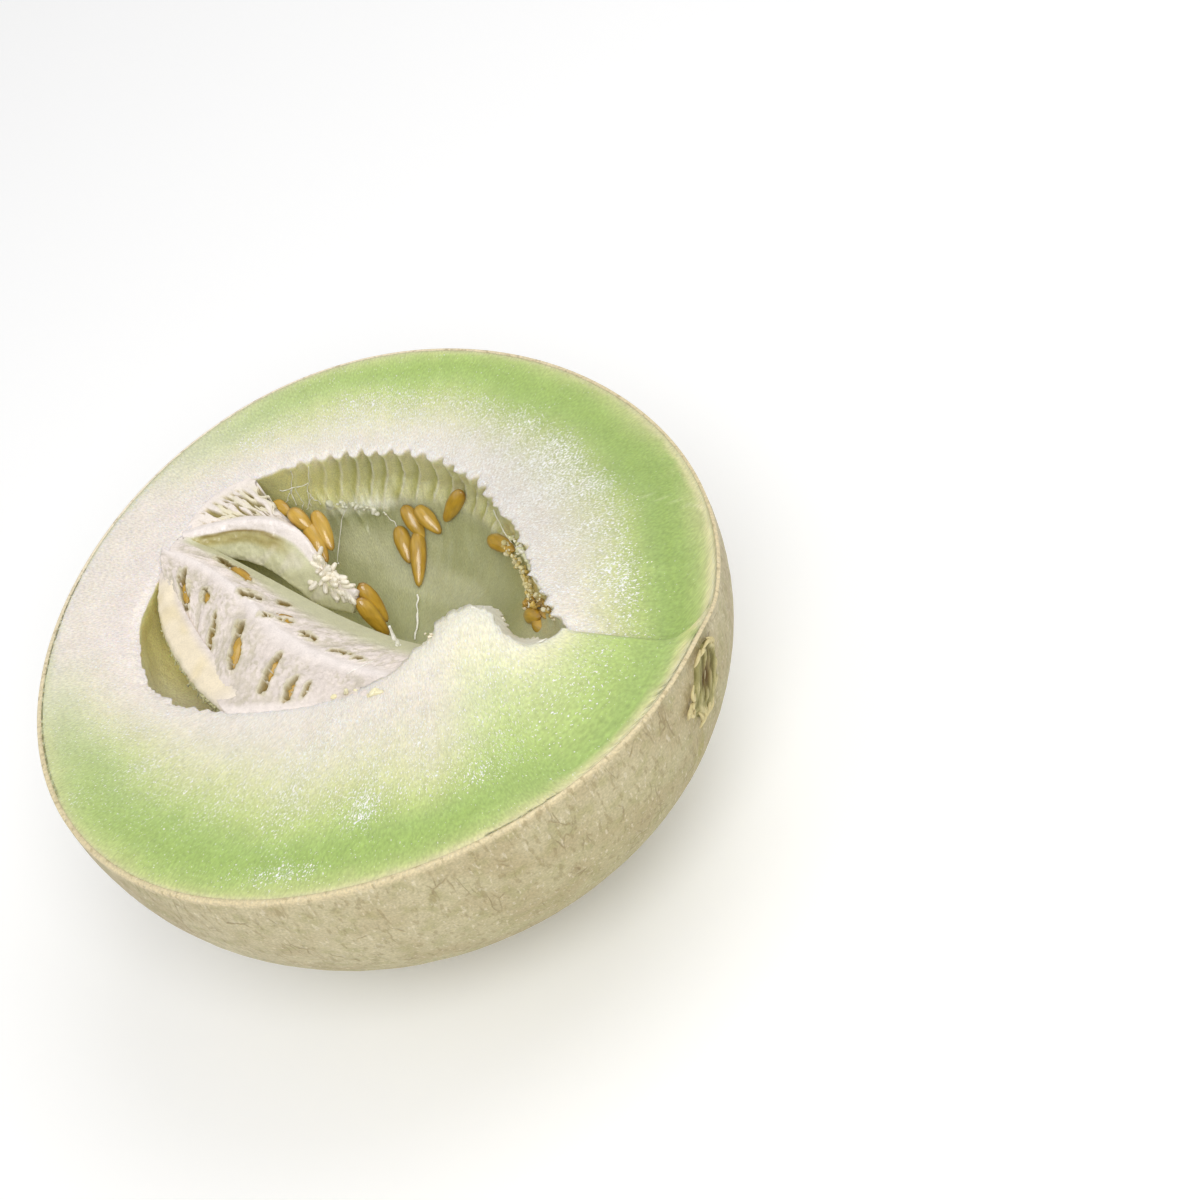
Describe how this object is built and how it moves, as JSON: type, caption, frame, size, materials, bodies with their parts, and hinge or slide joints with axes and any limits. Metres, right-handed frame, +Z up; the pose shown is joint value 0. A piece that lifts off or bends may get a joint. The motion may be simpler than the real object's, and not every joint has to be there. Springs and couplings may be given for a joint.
{
  "type": "honeydew melon half",
  "caption": "Ripe honeydew melon half lying on its rind with the cut face up, its seed hollow holding torn white pulp and loose seeds.",
  "frame": {"origin": "on the table under the middle of the melon, at the level of the small flat spot it rests on", "axes": "+Z up, the cut face looks up; +X towards the stem end; +Y towards the fluted wall of the seed hollow"},
  "size_m": [0.1696, 0.1654, 0.0899],
  "materials": {
    "flesh_and_rind": "wet",
    "pulp": "damp"
  },
  "bodies": {
    "root": {"flesh_and_rind": "flesh_and_rind", "pulp": "pulp"}
  },
  "joints": []
}
